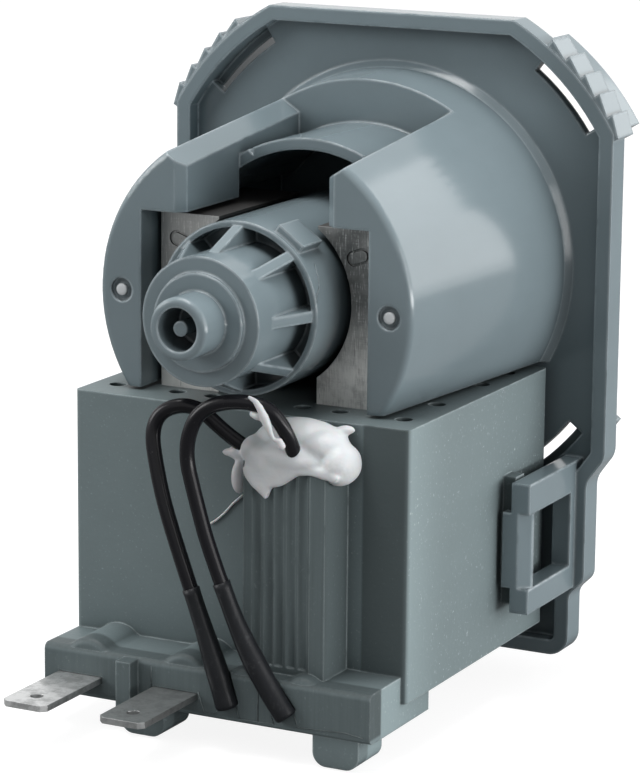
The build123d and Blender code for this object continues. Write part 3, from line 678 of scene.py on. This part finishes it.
sleeve_end_round = 0.5 * MM
sleeve_end_steps = 5


def mesh_of(body, name):
    """Mesh made from a finished bmesh."""
    mesh = bpy.data.meshes.new(name)
    body.to_mesh(mesh)
    body.free()
    return mesh


def route_curve(name, points):
    """Smooth open curve with these points as its control points."""
    curve = bpy.data.curves.new(name, "CURVE")
    curve.dimensions = "3D"
    spline = curve.splines.new("NURBS")
    spline.points.add(len(points) - 1)
    for control, point in zip(spline.points, points):
        control.co = (*point, 1)
    spline.order_u = 3
    spline.use_endpoint_u = True
    curve.resolution_u = 16
    return curve


def curve_points(curve):
    """Points along a curve's own line."""
    holder = bpy.data.objects.new("line", curve)
    mesh = bpy.data.meshes.new_from_object(holder)
    points = [vertex.co.copy() for vertex in mesh.vertices]
    bpy.data.objects.remove(holder)
    bpy.data.meshes.remove(mesh)
    return points


def path_length(points):
    """Length of the line through points."""
    return sum((b - a).length for a, b in zip(points, points[1:]))


def tube_mesh(name, points, radii, sides):
    """Closed tube through points, with a radius at each."""
    tangents = []
    for index in range(len(points)):
        ahead = points[min(index + 1, len(points) - 1)]
        behind = points[max(index - 1, 0)]
        tangents.append((ahead - behind).normalized())
    across = tangents[0].orthogonal().normalized()
    body = bmesh.new()
    rings = []
    for point, tangent, radius in zip(points, tangents, radii):
        across = (across - across.dot(tangent) * tangent).normalized()
        other = tangent.cross(across)
        ring = []
        for side in range(sides):
            turn = 2 * math.pi * side / sides
            offset = math.cos(turn) * across + math.sin(turn) * other
            ring.append(body.verts.new(point + radius * offset))
        rings.append(ring)
    for low, high in zip(rings, rings[1:]):
        for side in range(sides):
            after = (side + 1) % sides
            body.faces.new((low[side], low[after], high[after], high[side])).smooth = True
    body.faces.new(reversed(rings[0]))
    body.faces.new(rings[-1])
    return mesh_of(body, name)


def sleeve_radius(down):
    """Radius of a shrink sleeve at a distance from its top: it hugs the lead, then the crimp."""
    share = min(max((down - sleeve_snug) / sleeve_swell, 0), 1)
    swell = share * share * (3 - 2 * share)
    radius = sleeve_top_radius + swell * (sleeve_foot_radius - sleeve_top_radius)
    return radius + sleeve_lip * math.exp(-down / sleeve_lip_fall)


def add_leads(finishes):
    """The two leads and the heat-shrink tubes over their lower ends."""
    for side, route_mm in lead_routes_mm.items():
        route = [metres(*point) for point in route_mm]
        curve = route_curve("lead_" + side + "_insulation", route)
        points = curve_points(curve)
        curve.bevel_depth = lead_diameter / 2
        curve.bevel_resolution = 7
        curve.use_fill_caps = True
        lead = link_piece(curve.name, curve, finishes, "lead_insulation")
        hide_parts("lead_" + side)
        line = [point for point in points if point.z < sleeve_tops[side]]
        radii = []
        for count, point in enumerate(line):
            down = path_length(line[: count + 1])
            ripple = sleeve_ripple * noise.noise(Vector((down * 420, 0, len(side))))
            radii.append(sleeve_radius(down) + ripple)
        line.insert(0, line[0] - (line[1] - line[0]).normalized() * 0.02 * MM)
        radii.insert(0, lead_diameter / 2)
        end = line[-1]
        onward = (line[-1] - line[-2]).normalized()
        for step in range(1, sleeve_end_steps + 1):
            turn = 0.5 * math.pi * step / sleeve_end_steps
            line.append(end + onward * sleeve_end_round * math.sin(turn))
            radii.append(sleeve_foot_radius - sleeve_end_round * (1 - math.cos(turn)))
        mesh = tube_mesh("sleeve_" + side, line, radii, 32)
        sleeve = link_piece(mesh.name, mesh, finishes, "shrink_tube")
        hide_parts("shrink_sleeve_" + side)
        path_length(points)


# Silicone: an apron over the channel's front, lumps behind it, and a pulled strand
silicone_apron_mm = [
    (3.9, -18.4),
    (4.3, -19.5),
    (5.3, -20.6),
    (7.2, -22.0),
    (7.8, -20.6),
    (9.4, -20.1),
    (11.6, -18.6),
    (13.4, -18.4),
    (15.4, -18.7),
    (16.8, -18.9),
    (17.3, -18.2),
    (15.0, -17.4),
    (9.0, -17.2),
]
silicone_apron_back_mm = -50.0
silicone_apron_front_mm = -51.9
silicone_swell = 0.10 * MM
silicone_thread_radius = 0.16 * MM
silicone_lumps_mm = [
    ((10.2, -47.4, -15.6), (6.6, 3.2, 3.3)),
    ((9.8, -49.6, -17.0), (6.2, 2.5, 2.3)),
    ((6.4, -50.0, -17.8), (3.0, 2.0, 2.6)),
    ((11.8, -50.2, -17.1), (3.4, 1.9, 1.6)),
    ((16.0, -48.6, -17.2), (2.4, 3.2, 2.7)),
    ((13.6, -48.6, -15.6), (3.4, 2.6, 2.4)),
    ((4.6, -49.0, -16.7), (2.0, 2.4, 2.0)),
    ((2.5, -49.5, -20.2), (1.0, 1.5, 2.3)),
    ((1.9, -49.2, -17.3), (1.3, 0.9, 0.9)),
    ((0.7, -49.2, -17.4), (0.9, 0.6, 0.5)),
    ((15.6, -46.4, -13.4), (1.3, 0.9, 0.6)),
]
silicone_strand_mm = [
    ((6.6, -54.7, -8.7), 0.22),
    ((7.4, -54.7, -9.1), 0.34),
    ((8.0, -54.6, -9.9), 0.46),
    ((8.5, -54.4, -11.0), 0.56),
    ((8.8, -54.2, -12.0), 0.54),
    ((9.1, -54.0, -13.0), 0.38),
    ((9.5, -53.8, -13.8), 0.20),
    ((10.1, -53.5, -14.0), 0.42),
    ((10.4, -53.4, -14.6), 0.46),
]
silicone_drip_mm = [
    ((8.4, -54.4, -11.6), 0.20),
    ((7.9, -54.4, -11.3), 0.22),
    ((7.4, -54.4, -11.0), 0.46),
    ((6.9, -54.4, -10.8), 0.40),
]
silicone_thread_mm = [
    (0.9, -45.6, -23.6),
    (-0.6, -45.5, -24.9),
    (-1.8, -45.5, -26.3),
    (-3.0, -45.5, -27.4),
    (-3.8, -45.45, -27.9),
]


def strand_lumps(strand_mm):
    """Closely set lumps along a line that has a radius at each point."""
    lumps = []
    steps = 5
    for (start, start_radius), (end, end_radius) in zip(strand_mm, strand_mm[1:]):
        for step in range(steps + 1):
            share = step / steps
            radius = start_radius + share * (end_radius - start_radius)
            lumps.append((tuple(Vector(start).lerp(Vector(end), share)), (radius,) * 3))
    return lumps


def add_prism(body, outline_mm, front_mm, back_mm):
    """Closed plate with an outline in X and Z, between two depths along Y."""
    front = [body.verts.new(metres(x, front_mm, z)) for x, z in outline_mm]
    back = [body.verts.new(metres(x, back_mm, z)) for x, z in outline_mm]
    body.faces.new(front)
    body.faces.new(reversed(back))
    for index in range(len(front)):
        after = (index + 1) % len(front)
        body.faces.new((front[after], front[index], back[index], back[after]))


def skin_round(name, lumps_mm, voxel, rounds, apron_mm=()):
    """One closed skin round overlapping lumps, smoothed where they meet."""
    body = bmesh.new()
    for centre, radii in lumps_mm:
        place = Matrix.Translation(metres(*centre)) @ Matrix.Diagonal((*metres(*radii), 1))
        bmesh.ops.create_icosphere(body, subdivisions=3, radius=1, matrix=place)
    if apron_mm:
        add_prism(body, apron_mm, silicone_apron_front_mm, silicone_apron_back_mm)
    mesh = mesh_of(body, name)
    holder = link_object(name, mesh)
    remesh = holder.modifiers.new("skin", "REMESH")
    remesh.mode = "VOXEL"
    remesh.voxel_size = voxel
    smooth = holder.modifiers.new("smooth", "SMOOTH")
    smooth.factor = 0.5
    smooth.iterations = rounds
    bpy.context.view_layer.update()
    graph = bpy.context.evaluated_depsgraph_get()
    skin = bpy.data.meshes.new_from_object(holder.evaluated_get(graph))
    skin.name = name
    bpy.data.objects.remove(holder)
    bpy.data.meshes.remove(mesh)
    for face in skin.polygons:
        face.use_smooth = True
    return skin


def add_silicone(finishes):
    """White silicone over the channel's mouth and round the leads, with its pulled thread."""
    mesh = skin_round("silicone_bead", silicone_lumps_mm, 0.2 * MM, 20, silicone_apron_mm)
    for vertex in mesh.vertices:
        swell = noise.noise(vertex.co * 240) + 0.3 * noise.noise(vertex.co * 600)
        vertex.co += vertex.normal * swell * silicone_swell
    bead = link_piece("silicone_bead", mesh, finishes, "silicone")
    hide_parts("silicone_seal")
    lumps = strand_lumps(silicone_strand_mm) + strand_lumps(silicone_drip_mm)
    mesh = skin_round("silicone_strand", lumps, 0.1 * MM, 4)
    link_piece(mesh.name, mesh, finishes, "silicone")
    points = [metres(*point) for point in silicone_thread_mm]
    mesh = tube_mesh("silicone_thread", points, [silicone_thread_radius] * len(points), 10)
    link_piece(mesh.name, mesh, finishes, "silicone")


# Raised mould lines on the strip and a flash line on the can, each as a run of points
mould_lines_mm = {
    "strip_line_left": [
        (-1.0, -53.76, -47.3),
        (-0.1, -53.76, -49.85),
        (1.5, -53.76, -49.85),
        (2.0, -53.76, -48.8),
    ],
    "strip_line_middle": [
        (4.4, -53.76, -48.4),
        (4.9, -53.76, -49.95),
        (9.7, -53.76, -49.85),
        (9.3, -53.76, -48.9),
    ],
    "strip_line_right": [
        (12.6, -53.76, -48.3),
        (13.0, -53.76, -49.75),
        (19.5, -53.76, -49.4),
        (22.0, -53.76, -49.7),
    ],
    "strip_line_upright": [(7.45, -53.76, -44.9), (7.45, -53.76, -49.85)],
    "strip_line_post": [(-7.7, -53.76, -45.0), (-7.7, -53.76, -48.0)],
}
mould_line_radius = 0.07 * MM
can_flash_mm = [
    (9.3, -42.95, 6.05),
    (10.0, -43.5, 4.65),
    (10.5, -44.0, 3.4),
    (10.75, -45.3, 2.5),
    (10.9, -45.3, 1.7),
]
can_flash_radius = 0.09 * MM


def add_mould_lines(finishes):
    """Thin raised lines that the moulds left."""
    for name, points_mm in mould_lines_mm.items():
        points = [metres(*point) for point in points_mm]
        mesh = tube_mesh(name, points, [mould_line_radius] * len(points), 8)
        link_piece(name, mesh, finishes, "block_plastic")
    points = [metres(*point) for point in can_flash_mm]
    radii = [can_flash_radius * share for share in (0.5, 1, 0.8, 1, 0.6)]
    mesh = tube_mesh("can_flash", points, radii, 8)
    link_piece(mesh.name, mesh, finishes, "cover_plastic")


# Lamps and floor
floor_drop = 0.3 * MM


def add_floor():
    """Plain pale floor under the pump."""
    low = min(corner[2] for corner in cad_box) - floor_drop
    reach = 2.2
    mesh = bpy.data.meshes.new("floor")
    signs = [(-1, -1), (1, -1), (1, 1), (-1, 1)]
    corners = [(x * reach, y * reach, low) for x, y in signs]
    mesh.from_pydata(corners, [], [(0, 1, 2, 3)])
    floor = link_object("floor", mesh)
    mesh.materials.append(floor_finish())


def floor_finish():
    """Floor that is white to the camera but keeps the pump's shadow."""
    finish = Finish("floor")
    finish.surface(
        Base_Color=colour(0.20, 0.20, 0.20),
        Roughness=0.95,
        Emission_Color=finish.mix(finish.ray("Is Camera Ray"), colour(0, 0, 0), colour(1, 1, 1)),
        Emission_Strength=0.88,
    )
    return finish.material


def add_lamp(name, place, aim, size, power):
    """Rectangular soft lamp that shines from place towards aim."""
    lamp = bpy.data.lights.new(name, "AREA")
    lamp.shape = "RECTANGLE"
    lamp.size, lamp.size_y = size
    lamp.energy = power
    holder = link_object(name, lamp)
    holder.location = place
    holder.rotation_euler = (Vector(aim) - Vector(place)).to_track_quat("-Z", "Y").to_euler()


def add_light():
    """Soft studio light from the right, above and behind, in a white room."""
    middle = metres(0, -30, -10)
    add_lamp("right_box", (0.64, -0.14, 0.06), middle, (0.45, 0.5), 2.8)
    add_lamp("low_box", (0.55, 0.02, -0.015), middle, (0.5, 0.07), 1.4)
    add_lamp("rear_box", (0.50, 0.60, 0.06), middle, (0.8, 1.0), 4.6)
    add_lamp("top_box", (-0.10, -0.12, 0.72), middle, (0.5, 0.4), 6.4)
    add_lamp("front_box", (-0.72, -0.42, 0.34), middle, (0.4, 0.4), 4.2)
    add_room()


def add_room():
    """White room that shows white to the camera and in gloss, and lights the pump softly."""
    world = bpy.data.worlds.new("world")
    bpy.context.scene.world = world
    world.use_nodes = True
    room = Shading(world.node_tree)
    soft = {"Color": colour(0.95, 0.98, 1), "Strength": 0.25}
    ambient = room.node("ShaderNodeBackground", {}, soft)
    white = room.node("ShaderNodeBackground", {}, {"Color": colour(1, 1, 1)})
    mirrored = room.ray("Is Glossy Ray").at_least(room.ray("Is Transmission Ray"))
    seen = room.ray("Is Camera Ray").at_least(mirrored)
    shown = room.node("ShaderNodeMixShader", {}, {0: seen, 1: ambient, 2: white})
    room.feed(world.node_tree.nodes["World Output"].inputs["Surface"], shown)


bpy.context.scene.view_settings.view_transform = "Standard"
add_camera()
slot_finishes = finish_nodes()
add_leads(slot_finishes)
add_silicone(slot_finishes)
add_mould_lines(slot_finishes)
add_floor()
add_light()

bpy.context.view_layer.update()
